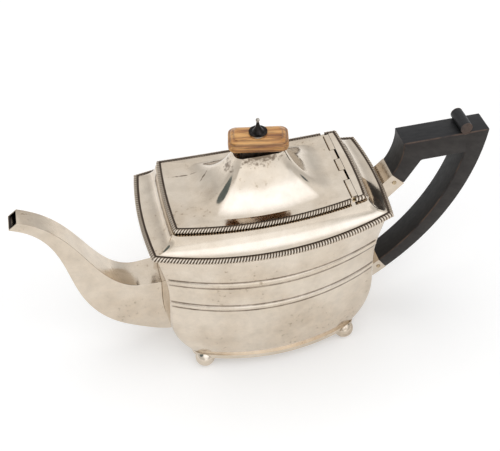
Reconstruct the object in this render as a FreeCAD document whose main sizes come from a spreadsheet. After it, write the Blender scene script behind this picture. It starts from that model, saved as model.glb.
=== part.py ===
import FreeCAD, Part
import Sketcher
import math
import os
from collections import namedtuple
from types import SimpleNamespace

# Oblong teapot with a hinged lid, an S spout and a wooden handle.
# Lengths are millimetres. The pot is laid out from its own middle, with the spout towards -X, the handle
# towards +X and Z from the table; every piece is then moved along X so that the whole length is centred.

doc = FreeCAD.newDocument("teapot")

driving = {
    # Rim of the pot: plan between the corners, with bowed sides and ends
    "rim_half_length": 66.7,
    "rim_half_width": 34.2,
    "rim_side_bow": 10.3,
    "rim_dip": 3.6,
    "rim_end_bow": 2.5,
    "rim_corner": 0.8,
    "rim_height": 105.4,
    # Wall of the body, from the rim down to the base
    "body_wall": 1.0,
    "flare_inset": 0.4,
    "neck_height": 84.0,
    "neck_inset": 2.9,
    "neck_side_bow": 12.3,
    "neck_corner": 1.2,
    "waist_height": 58.0,
    "waist_inset": 4.2,
    "waist_side_bow": 13.6,
    "waist_corner": 2.5,
    "belly_height": 34.0,
    "belly_half_length": 62.8,
    "belly_half_width": 30.2,
    "belly_side_bow": 13.4,
    "belly_corner": 6.0,
    "hip_height": 18.0,
    "hip_half_length": 57.6,
    "hip_half_width": 30.6,
    "hip_side_bow": 12.4,
    "hip_corner": 8.5,
    "base_half_length": 50.8,
    "base_half_width": 31.0,
    "base_side_bow": 11.5,
    "base_corner": 8.0,
    "base_height": 8.6,
    "base_wall": 1.0,
    "base_rim_width": 1.4,
    "base_rim_height": 3.0,
    # Ball feet, each with a small worn flat
    "foot_diameter": 12.4,
    "foot_x": 45.5,
    "foot_y": 32.1,
    "foot_wear": 0.3,
    # Applied reeds on the long sides
    "upper_reed_height": 79.8,
    "upper_reed_width": 4.6,
    "lower_reed_height": 60.0,
    "lower_reed_width": 4.0,
    "reed_depth": 1.1,
    "reed_bed": 0.3,
    "reed_dip": 3.3,
    "reed_end_margin": 1.6,
    # Lid plan, the ledge that it lies on and the mouth
    "lid_half_length": 52.9,
    "lid_half_width": 28.5,
    "lid_side_bow": 3.3,
    "lid_dip": 3.6,
    "lid_end_bow": 1.2,
    "lid_corner": 0.8,
    "lid_height": 117.7,
    "lid_wall": 1.0,
    "shoulder_wall": 1.0,
    "ledge_drop": 2.4,
    "ledge_margin": 0.4,
    "mouth_inset": 2.9,
    "bezel_depth": 4.5,
    "bezel_wall": 0.9,
    "bezel_clearance": 0.7,
    "bezel_gap": 0.1,
    # Dome of the lid
    "dome_half_length": 39.0,
    "dome_half_width": 24.0,
    "dome_side_bow": 3.0,
    "dome_end_bow": 1.0,
    "dome_corner": 9.0,
    "dome_height": 21.8,
    "crown_half_length": 14.3,
    "crown_half_width": 6.4,
    "crown_bow": 0.4,
    "crown_corner": 5.0,
    # Lobed borders
    "rim_border_width": 3.2,
    "rim_border_height": 3.4,
    "rim_border_rise": 0.4,
    "lid_border_width": 2.8,
    "lid_border_height": 2.5,
    "lid_border_rise": 0.4,
    "solder_gap": 0.05,
    # Hinge
    "hinge_x": 48.0,
    "knuckle_radius": 1.6,
    "knuckle_room": 0.45,
    "knuckle_half_span": 28.2,
    "knuckle_inner_break": 5.0,
    "knuckle_outer_break": 14.0,
    "knuckle_gap": 0.25,
    "knuckle_overlap": 0.9,
    "hinge_relief": 1.2,
    "pin_radius": 0.8,
    "pin_clearance": 0.05,
    "border_setback": 2.6,
    # Finial
    "collar_length": 22.0,
    "collar_width": 10.0,
    "collar_height": 3.4,
    "knob_length": 33.6,
    "knob_width": 18.4,
    "knob_corner": 4.5,
    "knob_turn": 12.0,
    "knob_foot_inset": 1.8,
    "knob_foot_height": 1.2,
    "knob_slab_height": 4.6,
    "knob_top_inset": 3.0,
    "knob_top_height": 2.2,
    "cap_radius": 5.2,
    "cap_ring_height": 1.2,
    "cap_neck_radius": 3.6,
    "cap_ball_radius": 1.1,
    "cap_ball_waist": 0.4,
    "cap_height": 9.9,
    "cap_hollow_radius": 10.0,
    "stud_radius": 1.2,
    "stud_reach": 2.4,
    "thread_clearance": 0.05,
    "stud_hole_clearance": 0.2,
    "washer_radius": 5.0,
    "washer_height": 0.8,
    "nut_across_corners": 7.6,
    "nut_height": 2.4,
    "stud_tail": 1.0,
    # Spout: a curve from the wall to the mouth, with a section that tapers along it
    "spout_root_x": 56.0,
    "spout_root_height": 37.6,
    "spout_root_pull": 68.2,
    "spout_root_drop": 0.6,
    "spout_reach": 140.3,
    "spout_tip_height": 119.4,
    "spout_tip_pull": 47.1,
    "spout_tip_angle": 21.7,
    "spout_mouth_tilt": 31.0,
    "spout_root_depth": 46.6,
    "spout_tip_depth": 6.0,
    "spout_depth_power": 1.82,
    "spout_root_half_width": 11.5,
    "spout_tip_half_width": 6.0,
    "spout_width_power": 1.27,
    "spout_wall": 0.7,
    "strainer_height": 38.0,
    "strainer_hole": 3.2,
    "strainer_pitch": 5.6,
    # Handle: a flat outline of one thickness
    "handle_width": 16.2,
    "handle_top": 130.8,
    "handle_top_start": 83.8,
    "handle_reach": 136.3,
    "handle_bar_depth": 14.6,
    "handle_gap_start": 95.9,
    "handle_grip_depth": 13.5,
    "handle_back_radius": 142.0,
    "handle_gap_radius": 130.0,
    "handle_arm_radius": 36.4,
    "thumb_inset": 14.7,
    "thumb_radius": 3.6,
    "thumb_length": 15.4,
    "thumb_seat": 0.4,
    # Handle sockets, each square to the end of the handle that it holds
    "upper_socket_x": 82.5,
    "upper_socket_z": 104.4,
    "upper_socket_angle": 45.0,
    "upper_socket_depth": 11.4,
    "upper_socket_run": 34.0,
    "lower_socket_x": 78.3,
    "lower_socket_z": 32.7,
    "lower_socket_angle": 35.0,
    "lower_socket_depth": 9.3,
    "lower_socket_run": 32.0,
    "socket_wall": 0.9,
    "tenon_length": 11.0,
    "tenon_clearance": 0.05,
    "socket_pin_radius": 1.3,
    "socket_pin_inset": 3.2,
    "socket_pin_proud": 0.3,
    "socket_pin_clearance": 0.05,
}

sheet = doc.addObject("Spreadsheet::Sheet", "sizes")
for row, (alias, number) in enumerate(driving.items(), start=1):
    sheet.set(f"A{row}", alias)
    sheet.set(f"B{row}", str(number))
    sheet.setAlias(f"B{row}", alias)
doc.recompute()


# A size as a number and as the text of an expression that gives the same number from the sheet
class Size:
    def __init__(self, number, text):
        self.number = number
        self.text = text

    def __add__(self, other):
        return joined(self, "+", other, self.number + number_of(other))

    def __sub__(self, other):
        return joined(self, "-", other, self.number - number_of(other))

    def __mul__(self, other):
        return joined(self, "*", other, self.number * number_of(other))

    def __truediv__(self, other):
        return joined(self, "/", other, self.number / number_of(other))

    def __neg__(self):
        return Size(-self.number, f"(0 - {self.text})")


def number_of(size):
    return size.number if isinstance(size, Size) else size


def text_of(size):
    return size.text if isinstance(size, Size) else str(size)


def joined(first, sign, second, number):
    return Size(number, f"({text_of(first)} {sign} {text_of(second)})")


def cosine(angle):
    return Size(math.cos(math.radians(angle.number)), f"cos({angle.text} * 1 deg)")


def sine(angle):
    return Size(math.sin(math.radians(angle.number)), f"sin({angle.text} * 1 deg)")


def root(size):
    return Size(math.sqrt(size.number), f"sqrt({size.text})")


mm = SimpleNamespace(**{alias: float(sheet.get(alias)) for alias in driving})
cell = SimpleNamespace(**{alias: Size(float(sheet.get(alias)), f"sizes.{alias}") for alias in driving})

centre_shift = (cell.spout_reach + cell.spout_tip_depth / 2 - cell.handle_reach) / 2
pieces = []


def vec(x, y, z):
    return FreeCAD.Vector(x, y, z)


def bind(thing, **sizes):
    for name, size in sizes.items():
        thing.setExpression(name, text_of(size))


def place(thing, x=0, y=0, z=0):
    for axis, size in (("x", x), ("y", y), ("z", z)):
        thing.setExpression(f"Placement.Base.{axis}", text_of(size))


# A finished piece: its label names its file, and it moves with the whole length
def piece(thing, label, y=0, z=0):
    thing.Label = label
    place(thing, centre_shift, y, z)
    pieces.append(thing)
    return thing


def shaped_piece(label, shape):
    thing = doc.addObject("Part::Feature", label)
    thing.Shape = shape
    return piece(thing, label)


def tool(name, shape):
    thing = doc.addObject("Part::Feature", name)
    thing.Shape = shape
    return thing


def cut(name, base, tools):
    for count, cutter in enumerate(tools):
        result = doc.addObject("Part::Cut", f"{name}_cut_{count}")
        result.Base = base
        result.Tool = cutter
        base = result
    return base


# A plan is a rectangle through four corners whose sides and ends bow outwards and whose corners are round.
# Its long sides can also dip: at the middle they lie lower than they do a span away from it.
Plan = namedtuple("Plan", "length width side_bow end_bow corner dip span")
smallest_corner = 0.3


def flat_plan(length, width, side_bow, end_bow, corner):
    return Plan(length, width, side_bow, end_bow, corner, 0.0, length)


def grown(plan, by):
    corner = max(plan.corner + by, smallest_corner)
    return plan._replace(length=plan.length + by, width=plan.width + by, corner=corner)


def between(first, second, share):
    return Plan(*(a + (b - a) * share for a, b in zip(first, second)))


def dipped(plan, height, x):
    return height - plan.dip * (1 - (x / plan.span)**2)


# The quarter of a plan with x and y positive: where its round corner starts, its middle and where it ends
def plan_corner(plan):
    side_radius = (plan.length**2 + plan.side_bow**2) / (2 * plan.side_bow)
    end_radius = (plan.width**2 + plan.end_bow**2) / (2 * plan.end_bow)
    side_centre = vec(0, plan.width + plan.side_bow - side_radius, 0)
    end_centre = vec(plan.length + plan.end_bow - end_radius, 0, 0)
    to_side = side_radius - plan.corner
    to_end = end_radius - plan.corner
    apart = end_centre - side_centre
    along = (apart.Length**2 + to_side**2 - to_end**2) / (2 * apart.Length)
    across = math.sqrt(to_side**2 - along**2)
    line = apart.normalize()
    centre = side_centre + line * along + vec(line.y, -line.x, 0) * across
    end_way = (centre - end_centre).normalize()
    side_way = (centre - side_centre).normalize()
    middle_way = (end_way + side_way).normalize()
    return [centre + way * plan.corner for way in (end_way, middle_way, side_way)]


def plan_wire(plan, height):
    from_end, middle, to_side = plan_corner(plan)
    end_middle = vec(plan.length + plan.end_bow, 0, 0)
    side_middle = vec(0, plan.width + plan.side_bow, 0)
    edges = []
    for turn_x, turn_y in ((1, 1), (-1, 1), (-1, -1), (1, -1)):
        corner = [from_end, middle, to_side]
        run = [to_side, side_middle, vec(-to_side.x, to_side.y, 0)]
        if turn_x * turn_y < 0:
            corner.reverse()
            run = [from_end, end_middle, vec(from_end.x, -from_end.y, 0)]
        for points in (corner, run):
            turned = [vec(p.x * turn_x, p.y * turn_y, dipped(plan, height, p.x)) for p in points]
            edges.append(Part.Arc(*turned).toShape())
    return Part.Wire(edges)


def plan_prism(plan, low, high):
    face = Part.Face(plan_wire(plan._replace(dip=0.0), low))
    return face.extrude(vec(0, 0, high - low))


def plan_loft(sections):
    return Part.makeLoft([plan_wire(plan, height) for plan, height in sections], True, False)


def skin(sections, smooth):
    return Part.makeLoft([plan_wire(plan, height) for plan, height in sections], False, not smooth).Faces


# A solid from the faces of its skin
def sewn(faces):
    tolerance = 0.005
    skin_faces = Part.makeCompound(faces)
    skin_faces.sewShape(tolerance)
    solid = Part.makeSolid(skin_faces.Shells[0])
    if solid.Volume < 0:
        solid.reverse()
    return solid


far_away = 300.0


def slab(x_low=-far_away, x_high=far_away):
    return Part.makeBox(x_high - x_low, 2 * far_away, far_away, vec(x_low, -far_away, 0))


# Everything above a surface that dips between two heights a span apart, as a cylinder along Y
def above(height, dip, span, lower=0.0):
    radius = (span**2 + dip**2) / (2 * dip)
    start = vec(0, -far_away, height - dip + radius)
    return Part.makeCylinder(radius + lower, 2 * far_away, start, vec(0, 1, 0))


# A hollow curve from a lower plan to an upper one: part of a circle that starts flat and ends steep
def cove(lower, upper, low, high, start_angle, end_angle):
    steps = 5
    start = math.radians(start_angle)
    end = math.radians(end_angle)
    sections = []
    for step in range(steps + 1):
        angle = start + (end - start) * step / steps
        inward = (math.sin(angle) - math.sin(start)) / (math.sin(end) - math.sin(start))
        upward = (math.cos(start) - math.cos(angle)) / (math.cos(start) - math.cos(end))
        sections.append((between(lower, upper, inward), low + (high - low) * upward))
    return sections


def sunk(sections, wall):
    return [(grown(plan, -wall), height - wall) for plan, height in sections]


# The wedges outside a plan's corners, which mitre a moulding into four lengths
def mitres(plan):
    spread = 60.0
    length, width = plan.length, plan.width
    front = [(-length, -width), (length, -width)]
    front += [(length + spread, -width - spread), (-length - spread, -width - spread)]
    right = [(length, -width), (length, width)]
    right += [(length + spread, width + spread), (length + spread, -width - spread)]
    wedges = {}
    for side, points in (("front", front), ("right", right)):
        corners = [vec(x, y, 0) for x, y in points + points[:1]]
        wedges[side] = Part.Face(Part.makePolygon(corners)).extrude(vec(0, 0, far_away))
    return wedges


# A wire like the letter D: a bow through three points, and a flat back at a given depth behind it
def bow_wire(low, middle, high, back):
    ends = [high, high + back, low + back, low]
    edges = [Part.Arc(low, middle, high).toShape()]
    edges += [Part.LineSegment(a, b).toShape() for a, b in zip(ends, ends[1:])]
    return Part.Wire(edges)


# A half-round moulding along the front or the right side of a plan, with its back on the plan
def moulding(plan, side, width, top, height):
    steps = 8
    overrun = 1.1
    core_share = 0.4
    core = core_share * width
    wires = []
    for step in range(steps + 1):
        share = (2 * step / steps - 1) * overrun
        if side == "front":
            out = vec(0, -1, 0)
            foot = vec(share * plan.length, -plan.width - plan.side_bow * (1 - share**2), 0)
            level = dipped(plan, top, foot.x)
        else:
            out = vec(1, 0, 0)
            foot = vec(plan.length + plan.end_bow * (1 - share**2), share * plan.width, 0)
            level = top
        low = foot + out * core + vec(0, 0, level - height)
        middle = foot + out * width + vec(0, 0, level - height / 2)
        high = foot + out * core + vec(0, 0, level)
        wires.append(bow_wire(low, middle, high, -out * 2 * width))
    length = Part.makeLoft(wires, True, False)
    inside = plan_prism(grown(plan, mm.solder_gap), top - 3 * height - plan.dip, top + 3 * height)
    return length.cut(inside).common(mitres(plan)[side])


def other_side(shape, across):
    return shape.mirror(vec(0, 0, 0), across)


rim = Plan(mm.rim_half_length, mm.rim_half_width, mm.rim_side_bow, mm.rim_end_bow, mm.rim_corner,
           mm.rim_dip, mm.rim_half_length)
lid = Plan(mm.lid_half_length, mm.lid_half_width, mm.lid_side_bow, mm.lid_end_bow, mm.lid_corner,
           mm.lid_dip, mm.lid_half_length)
base = flat_plan(mm.base_half_length, mm.base_half_width, mm.base_side_bow, mm.rim_end_bow, mm.base_corner)
hip = flat_plan(mm.hip_half_length, mm.hip_half_width, mm.hip_side_bow, mm.rim_end_bow, mm.hip_corner)
belly = flat_plan(mm.belly_half_length, mm.belly_half_width, mm.belly_side_bow, mm.rim_end_bow,
                  mm.belly_corner)
waist = grown(rim, -mm.waist_inset)._replace(side_bow=mm.waist_side_bow, corner=mm.waist_corner, dip=0.0)
neck = grown(rim, -mm.neck_inset)._replace(side_bow=mm.neck_side_bow, corner=mm.neck_corner, dip=0.0)
flare = grown(rim, -mm.flare_inset)._replace(corner=mm.rim_corner, dip=0.0)
ledge = grown(lid, mm.lid_border_width + mm.ledge_margin)
ledge = ledge._replace(span=ledge.length + ledge.end_bow)
mouth = grown(lid, -mm.mouth_inset)
base_top = mm.base_height + mm.base_wall
wall_top = mm.rim_height - mm.shoulder_wall
ledge_height = mm.lid_height - mm.ledge_drop
leaf_edge = mm.knuckle_radius + mm.knuckle_room
dome_top = mm.lid_height + mm.dome_height

# The leaves slope where they meet, so the tabs slope with them about the axis of the pin
hinge_share = cell.hinge_x / cell.lid_half_length
hinge_slope = cell.lid_dip * 2 * hinge_share / cell.lid_half_length
leaf_height = cell.lid_height - cell.lid_dip + cell.lid_dip * hinge_share * hinge_share
slope_length = root(hinge_slope * hinge_slope + 1)
hinge_z = leaf_height - cell.knuckle_radius * slope_length

# Body: sections from the base up to the rim, cut off along the dip of the rim
body_sections = [
    (base, base_top),
    (hip, mm.hip_height),
    (belly, mm.belly_height),
    (waist, mm.waist_height),
    (neck, mm.neck_height),
    (flare, wall_top),
]
over_rim = above(wall_top - mm.solder_gap, mm.rim_dip, mm.rim_half_length)
body_solid = plan_loft(body_sections).cut(over_rim)
body_hollow = plan_loft([(grown(plan, -mm.body_wall), height) for plan, height in body_sections])


def strainer():
    rows = 5
    columns = 3
    holes = []
    for row in range(rows):
        for column in range(columns):
            y = (column - (columns - 1) / 2) * mm.strainer_pitch
            z = mm.strainer_height + (row - (rows - 1) / 2) * mm.strainer_pitch
            start = vec(-mm.rim_half_length - mm.rim_end_bow, y, z)
            holes.append(Part.makeCylinder(mm.strainer_hole / 2, mm.rim_half_length, start, vec(1, 0, 0)))
    return Part.makeCompound(holes)


shaped_piece("body_shell", body_solid.cut(body_hollow).cut(strainer()))

# Base: a plate under the wall, with a wire round it and round the foot of the wall
base_plate = plan_prism(base, mm.base_height, base_top)
base_outline = grown(base, mm.base_rim_width)
base_block = plan_prism(base_outline, mm.base_height, mm.base_height + mm.base_rim_height)
shaped_piece("base_plate", base_plate)
shaped_piece("base_rim", base_block.cut(base_plate).cut(body_solid))

# Feet: balls cut flat below, seated against the base from underneath and outside
seat = tool("foot_seat", plan_prism(base_outline, mm.base_height, mm.base_height + mm.foot_diameter))
for place_y, sign_y in (("front", -1), ("rear", 1)):
    for place_x, sign_x in (("left", -1), ("right", 1)):
        name = f"foot_{place_y}_{place_x}"
        ball = doc.addObject("Part::Sphere", f"{name}_ball")
        bind(ball, Radius=cell.foot_diameter / 2)
        place(ball, cell.foot_x * sign_x, cell.foot_y * sign_y, cell.foot_diameter / 2 - cell.foot_wear)
        wear = doc.addObject("Part::Box", f"{name}_wear")
        bind(wear, Length=cell.foot_diameter, Width=cell.foot_diameter, Height=cell.foot_diameter)
        corner_x = cell.foot_x * sign_x - cell.foot_diameter / 2
        corner_y = cell.foot_y * sign_y - cell.foot_diameter / 2
        place(wear, corner_x, corner_y, -cell.foot_diameter)
        piece(cut(name, ball, [wear, seat]), name)


# Shoulder: the rim's edge, a cove up to the ledge, and the mouth through the ledge
def shoulder():
    start_angle = 6
    end_angle = 78
    wall = mm.shoulder_wall
    outside = cove(rim, ledge, mm.rim_height, ledge_height, start_angle, end_angle)
    inside = sunk(outside, wall)
    mouth_top = (mouth, ledge_height)
    mouth_low = (mouth, ledge_height - wall)
    edge_low = (rim, mm.rim_height - wall)
    faces = skin(outside, True) + skin([outside[-1], mouth_top], False) + skin([mouth_top, mouth_low], False)
    faces += skin([mouth_low, inside[-1]], False) + skin(inside, True)
    faces += skin([inside[0], edge_low], False) + skin([edge_low, outside[0]], False)
    return sewn(faces)


# The ledge is cut away round the ends of the hinge
relief_half = mm.knuckle_half_span + mm.knuckle_gap
relief_start = vec(mm.hinge_x, -relief_half, hinge_z.number)
relief = Part.makeCylinder(mm.knuckle_radius + mm.hinge_relief, 2 * relief_half, relief_start, vec(0, 1, 0))
shaped_piece("shoulder", shoulder().cut(relief))


# Lobed border round the rim, in four mitred lengths
def border(plan, width, top, height):
    front = moulding(plan, "front", width, top, height)
    right = moulding(plan, "right", width, top, height)
    return {
        "front": front,
        "rear": other_side(front, vec(0, 1, 0)),
        "right": right,
        "left": other_side(right, vec(1, 0, 0)),
    }


rim_lengths = border(rim, mm.rim_border_width, mm.rim_height + mm.rim_border_rise, mm.rim_border_height)
for side, length in rim_lengths.items():
    shaped_piece(f"rim_border_{side}", length)


# Spout: rectangles square to a curve, each with its depth and width
def spout_station(share):
    tip_angle = math.radians(mm.spout_tip_angle)
    root_point = vec(-mm.spout_root_x, 0, mm.spout_root_height)
    tip = vec(-mm.spout_reach, 0, mm.spout_tip_height)
    root_pull = root_point + vec(-mm.spout_root_pull, 0, -mm.spout_root_drop)
    tip_pull = tip + vec(math.cos(tip_angle), 0, -math.sin(tip_angle)) * mm.spout_tip_pull
    rest = 1 - share
    point = root_point * rest**3 + root_pull * (3 * rest**2 * share)
    point = point + tip_pull * (3 * rest * share**2) + tip * share**3
    way = (root_pull - root_point) * rest**2 + (tip_pull - root_pull) * (2 * rest * share)
    way = (way + (tip - tip_pull) * share**2).normalize()
    depth = mm.spout_tip_depth + (mm.spout_root_depth - mm.spout_tip_depth) * rest**mm.spout_depth_power
    narrowing = rest**mm.spout_width_power
    width = mm.spout_tip_half_width + (mm.spout_root_half_width - mm.spout_tip_half_width) * narrowing
    return point, way, depth / 2, width


def spout_wire(share, inset):
    tilt_power = 6
    point, way, half_depth, half_width = spout_station(share)
    tilt = math.radians(mm.spout_mouth_tilt) * share**tilt_power
    up = vec(way.z, 0, -way.x) * math.cos(tilt) - way * math.sin(tilt)
    to_top = up * (half_depth / math.cos(tilt) - inset)
    to_side = vec(0, half_width - inset, 0)
    corners = [point + to_top + to_side, point + to_top - to_side]
    corners += [point - to_top - to_side, point - to_top + to_side]
    return Part.makePolygon(corners + corners[:1])


spout_steps = 10
spout_shares = [step / spout_steps for step in range(spout_steps + 1)]
spout_solid = Part.makeLoft([spout_wire(share, 0) for share in spout_shares], True, False)
spout_hollow = Part.makeLoft([spout_wire(share, mm.spout_wall) for share in spout_shares], True, False)
shaped_piece("spout", spout_solid.cut(spout_hollow).cut(body_solid))


# Reeds: half-round strips on the long sides, between the corners and with their backs on the wall
def wall_y(x, z):
    ray = Part.makeLine(vec(x, 0, z), vec(x, -far_away, z))
    return min(vertex.Point.y for vertex in ray.common(body_solid).Vertexes)


def reed(height, width):
    steps = 10
    half_length = neck.length - mm.reed_end_margin
    wires = []
    for step in range(steps + 1):
        share = 2 * step / steps - 1
        x = half_length * share
        level = height - mm.reed_dip * (1 - share**2)
        low, middle, high = (vec(x, wall_y(x, level + up), level + up) for up in (-width / 2, 0, width / 2))
        low.y = low.y + mm.reed_bed
        high.y = high.y + mm.reed_bed
        middle.y = middle.y - mm.reed_depth
        wires.append(bow_wire(low, middle, high, vec(0, mm.body_wall, 0)))
    return Part.makeLoft(wires, True, False).cut(body_solid)


for name, height, width in (
    ("upper_reed", mm.upper_reed_height, mm.upper_reed_width),
    ("lower_reed", mm.lower_reed_height, mm.lower_reed_width),
):
    strip = reed(height, width)
    shaped_piece(f"{name}_front", strip)
    shaped_piece(f"{name}_rear", other_side(strip, vec(0, 1, 0)))

# Lid: a margin that dips with the ledge, a hipped dome and a hole for the finial's stud
dome = lid._replace(length=mm.dome_half_length, width=mm.dome_half_width, side_bow=mm.dome_side_bow,
                    end_bow=mm.dome_end_bow, corner=mm.dome_corner)
crown = dome._replace(length=mm.crown_half_length, width=mm.crown_half_width, side_bow=mm.crown_bow,
                      end_bow=mm.crown_bow, corner=mm.crown_corner, dip=0.0)
over_lid = above(mm.lid_height, mm.lid_dip, mm.lid_half_length)
over_underside = above(mm.lid_height, mm.lid_dip, mm.lid_half_length, mm.lid_wall + mm.bezel_gap)
over_ledge = above(mm.lid_height, mm.lid_dip, mm.lid_half_length, mm.ledge_drop - mm.solder_gap)
lid_low = mm.lid_height - mm.lid_dip - 2 * mm.bezel_depth


def lid_cover():
    start_angle = 5
    end_angle = 62
    wall = mm.lid_wall
    outside = cove(dome, crown, mm.lid_height, dome_top, start_angle, end_angle)
    inside = sunk(outside, wall)
    edge_top = (lid, mm.lid_height)
    edge_low = (lid, mm.lid_height - wall)
    faces = skin([edge_top, outside[0]], False) + skin(outside, True)
    faces += skin([edge_low, inside[0]], False) + skin(inside, True) + skin([edge_low, edge_top], False)
    faces += [Part.Face(plan_wire(*outside[-1])), Part.Face(plan_wire(*inside[-1]))]
    stud_hole = Part.makeCylinder(mm.stud_radius + mm.stud_hole_clearance, 2 * dome_top)
    return sewn(faces).common(slab(x_high=mm.hinge_x - leaf_edge)).cut(stud_hole)


shaped_piece("lid_cover", lid_cover())


def lid_bezel():
    outline = grown(mouth, -mm.bezel_clearance)
    low = mm.lid_height - mm.lid_dip - mm.bezel_depth
    ring = plan_prism(outline, low, dome_top).cut(plan_prism(grown(outline, -mm.bezel_wall), low, dome_top))
    return ring.common(slab(x_high=mm.hinge_x - 2 * leaf_edge)).cut(over_underside)


shaped_piece("lid_bezel", lid_bezel())

# Lobed border round the lid: three lengths on the lid, and three on the fixed plate behind the hinge, which
# leave room for the lid's end to swing past
lid_lengths = border(lid, mm.lid_border_width, mm.lid_height + mm.lid_border_rise, mm.lid_border_height)
shaped_piece("lid_border_left", lid_lengths["left"])
shaped_piece("hinge_border_end", lid_lengths["right"])
lid_end = (mm.hinge_x - leaf_edge) / mm.lid_half_length
swing_half = mm.lid_half_width + mm.lid_side_bow * (1 - lid_end**2) + mm.knuckle_gap
swing_corner = vec(mm.hinge_x, -swing_half, lid_low)
swing_room = Part.makeBox(leaf_edge, 2 * swing_half, 2 * mm.dome_height, swing_corner)
for side in ("front", "rear"):
    on_lid = lid_lengths[side].common(slab(x_high=mm.hinge_x - mm.border_setback))
    on_plate = lid_lengths[side].common(slab(x_low=mm.hinge_x)).cut(swing_room)
    shaped_piece(f"lid_border_{side}", on_lid)
    shaped_piece(f"hinge_border_{side}", on_plate)

# Hinge: a fixed plate, five knuckles whose tabs meet the two leaves, and a pin
hinge_plate = plan_prism(lid, lid_low, dome_top).common(slab(x_low=mm.hinge_x + leaf_edge))
shaped_piece("hinge_plate", hinge_plate.common(over_ledge).cut(over_lid))


def along_y(name, radius, length, x, y, z):
    rod = doc.addObject("Part::Cylinder", name)
    bind(rod, Radius=radius, Height=length)
    rod.Placement.Rotation = FreeCAD.Rotation(vec(1, 0, 0), -90)
    place(rod, x, y, z)
    return rod


def knuckle(name, start, length, leaf_side):
    barrel = along_y(f"{name}_barrel", cell.knuckle_radius, length, cell.hinge_x, start, hinge_z)
    tab = doc.addObject("Part::Box", f"{name}_tab")
    tab_length = (cell.knuckle_radius + cell.knuckle_room) * slope_length - cell.solder_gap
    if leaf_side < 0:
        tab_length = tab_length - cell.knuckle_radius * hinge_slope
    bind(tab, Length=tab_length + cell.knuckle_overlap, Width=length, Height=cell.lid_wall)
    tab.Placement.Rotation = FreeCAD.Rotation(vec(0, -1, 0), 1)
    tab.setExpression("Placement.Rotation.Angle", f"atan({hinge_slope.text})")
    across = cell.knuckle_radius - cell.lid_wall
    along = tab_length * min(leaf_side, 0) - cell.knuckle_overlap * max(leaf_side, 0)
    tab_x = cell.hinge_x + (along - across * hinge_slope) / slope_length
    tab_z = hinge_z + (along * hinge_slope + across) / slope_length
    place(tab, tab_x, start, tab_z)
    whole = doc.addObject("Part::Fuse", f"{name}_whole")
    whole.Base = barrel
    whole.Tool = tab
    bore_radius = cell.pin_radius + cell.pin_clearance
    bore = along_y(f"{name}_bore", bore_radius, length, cell.hinge_x, start, hinge_z)
    piece(cut(name, whole, [bore]), name)


outer_length = cell.knuckle_half_span - cell.knuckle_outer_break
inner_length = cell.knuckle_outer_break - cell.knuckle_inner_break - cell.knuckle_gap * 2
knuckle("fixed_knuckle_front", -cell.knuckle_half_span, outer_length, 1)
knuckle("fixed_knuckle_middle", -cell.knuckle_inner_break, cell.knuckle_inner_break * 2, 1)
knuckle("fixed_knuckle_rear", cell.knuckle_outer_break, outer_length, 1)
knuckle("lid_knuckle_front", cell.knuckle_gap - cell.knuckle_outer_break, inner_length, -1)
knuckle("lid_knuckle_rear", cell.knuckle_inner_break + cell.knuckle_gap, inner_length, -1)
pin = along_y("pin", cell.pin_radius, cell.knuckle_half_span * 2, 0, 0, 0)
place(pin, centre_shift + cell.hinge_x, -cell.knuckle_half_span, hinge_z)
pin.Label = "hinge_pin"
pieces.append(pin)


# Sketch helpers: an attached sketch, and an outline whose every corner is tied to the sheet
def attached_sketch(body, name, role, height=0):
    sketch = body.newObject("Sketcher::SketchObject", name)
    plane = [part for part in body.Origin.OriginFeatures if part.Role == role][0]
    sketch.AttachmentSupport = [(plane, "")]
    sketch.MapMode = "FlatFace"
    sketch.setExpression("AttachmentOffset.Base.z", text_of(height))
    return sketch


def tie(sketch, kind, *details):
    index = sketch.addConstraint(Sketcher.Constraint(kind, *details[:-1], number_of(details[-1])))
    sketch.setExpression(f"Constraints[{index}]", text_of(details[-1]))


# The edges of an outline, each from one corner to the next: a line, or an arc of a given radius
# that bows to the left of its way when the radius is positive and to the right when it is negative
def outline_edge(start, finish, radius):
    if radius is None:
        return Part.LineSegment(start, finish)
    chord = finish - start
    bow = abs(radius) - math.sqrt(radius**2 - (chord.Length / 2)**2)
    left = vec(-chord.y, chord.x, 0).normalize()
    return Part.Arc(start, (start + finish) / 2 + left * math.copysign(bow, radius), finish)


def outline(sketch, corners, radii):
    points = [vec(number_of(x), number_of(y), 0) for x, y in corners]
    count = len(points)
    starts = []
    for index in range(count):
        start, finish = points[index], points[(index + 1) % count]
        radius = radii.get(index)
        edge = outline_edge(start, finish, None if radius is None else radius.number)
        sketch.addGeometry(edge, False)
        forward = (sketch.getPoint(index, 1) - start).Length < (sketch.getPoint(index, 2) - start).Length
        starts.append((1, 2) if forward else (2, 1))
    for index in range(count):
        after = (index + 1) % count
        first, second = starts[index][1], starts[after][0]
        sketch.addConstraint(Sketcher.Constraint("Coincident", index, first, after, second))
    for index, (x, y) in enumerate(corners):
        tie(sketch, "DistanceX", index, starts[index][0], x)
        tie(sketch, "DistanceY", index, starts[index][0], y)
    for index, radius in radii.items():
        tie(sketch, "Radius", index, radius if radius.number > 0 else -radius)


def rounded_rectangle(sketch, half_length, half_width, corner):
    short_length = half_length - corner
    short_width = half_width - corner
    corners = [
        (half_length, -short_width), (half_length, short_width),
        (short_length, half_width), (-short_length, half_width),
        (-half_length, short_width), (-half_length, -short_width),
        (-short_length, -half_width), (short_length, -half_width),
    ]
    outline(sketch, corners, {index: -corner for index in (1, 3, 5, 7)})


def circle(sketch, x, y, radius):
    sketch.addGeometry(Part.Circle(vec(number_of(x), number_of(y), 0), vec(0, 0, 1), radius.number), False)
    tie(sketch, "Radius", 0, radius)
    tie(sketch, "DistanceX", 0, 3, x)
    tie(sketch, "DistanceY", 0, 3, y)


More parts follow.
